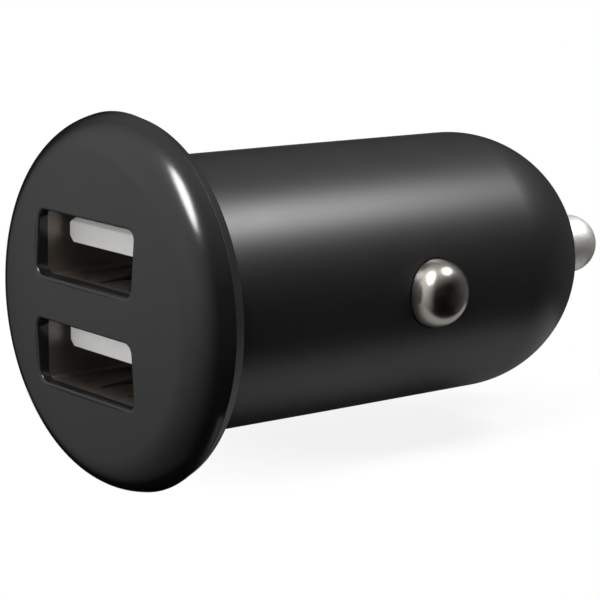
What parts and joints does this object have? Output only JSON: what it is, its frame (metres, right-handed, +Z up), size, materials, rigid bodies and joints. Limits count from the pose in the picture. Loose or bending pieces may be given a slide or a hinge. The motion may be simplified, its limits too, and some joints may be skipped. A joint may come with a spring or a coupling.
{
  "type": "car usb charger plug",
  "caption": "Bullet-shaped plug with a domed flange holding stacked USB ports, sprung side contacts and a sprung nose tip, for a 12 V car socket.",
  "frame": {"origin": "on the barrel's axis, in the plane of the flange's back where it seats on the socket's rim", "axes": "+Y along the barrel towards the nose, the face with the ports to -Y, +Z up with the ports one above the other, +X to the right seen from the face's side"},
  "size_m": [0.028, 0.0516, 0.028],
  "materials": {
    "black_gloss_plastic": "smooth satin-gloss moulding",
    "white_insulator": "moulded, plain",
    "shield_steel": "nickel-plated sheet",
    "gilt_contact": "gold-flashed strip",
    "board_laminate": "green solder mask on glass laminate",
    "spring_bronze": "rolled phosphor bronze",
    "brass_sheet": "folded sheet",
    "nickel_plate": "polished nickel plating on brass",
    "spring_steel": "drawn wire",
    "ferrite": "sintered",
    "copper_winding": "enamelled copper wire",
    "can_aluminium": "drawn can",
    "component_plastic": "moulded epoxy",
    "tinned_leads": "tinned",
    "chip_ceramic": "fired, with plated ends"
  },
  "bodies": {
    "plug": {"chip_capacitor_1": "chip_ceramic", "chip_capacitor_2": "chip_ceramic", "chip_capacitor_3": "chip_ceramic", "chip_capacitor_4": "chip_ceramic", "chip_resistor_1": "chip_ceramic", "chip_resistor_2": "chip_ceramic", "chip_resistor_3": "chip_ceramic", "chip_resistor_4": "chip_ceramic", "circuit_board": "board_laminate", "converter_chip": "component_plastic", "converter_chip_leads": "tinned_leads", "front_cap": "black_gloss_plastic", "ground_bracket": "brass_sheet", "housing": "black_gloss_plastic", "inductor_core": "ferrite", "inductor_winding": "copper_winding", "input_capacitor_base": "component_plastic", "input_capacitor_can": "can_aluminium", "input_fuse": "chip_ceramic", "left_side_spring": "spring_bronze", "lower_port_contact_1": "gilt_contact", "lower_port_contact_2": "gilt_contact", "lower_port_contact_3": "gilt_contact", "lower_port_contact_4": "gilt_contact", "lower_port_shield": "shield_steel", "output_capacitor_base": "component_plastic", "output_capacitor_can": "can_aluminium", "port_control_chip": "component_plastic", "port_control_chip_leads": "tinned_leads", "port_insulator": "white_insulator", "rectifier_diode": "component_plastic", "right_side_spring": "spring_bronze", "tip_spring": "spring_steel", "tip_spring_seat": "brass_sheet", "upper_port_contact_1": "gilt_contact", "upper_port_contact_2": "gilt_contact", "upper_port_contact_3": "gilt_contact", "upper_port_contact_4": "gilt_contact", "upper_port_shield": "shield_steel"},
    "tip": {"tip_contact": "nickel_plate"},
    "right_contact": {"right_side_contact": "nickel_plate"},
    "left_contact": {"left_side_contact": "nickel_plate"}
  },
  "joints": [
    {"name": "tip_press", "type": "slide", "parent": "plug", "child": "tip", "axis": [0, 1, 0], "range_m": [-0.0025, 0], "stiffness_N_per_m": 900, "springref_m": 0.003, "deforming": ["tip_spring"]},
    {"name": "right_contact_press", "type": "slide", "parent": "plug", "child": "right_contact", "axis": [1, 0, 0], "range_m": [-0.0019, 0], "stiffness_N_per_m": 1500, "springref_m": 0.0015, "deforming": ["right_side_spring"]},
    {"name": "left_contact_press", "type": "slide", "parent": "plug", "child": "left_contact", "axis": [-1, 0, 0], "range_m": [-0.0019, 0], "stiffness_N_per_m": 1500, "springref_m": 0.0015, "deforming": ["left_side_spring"]}
  ]
}
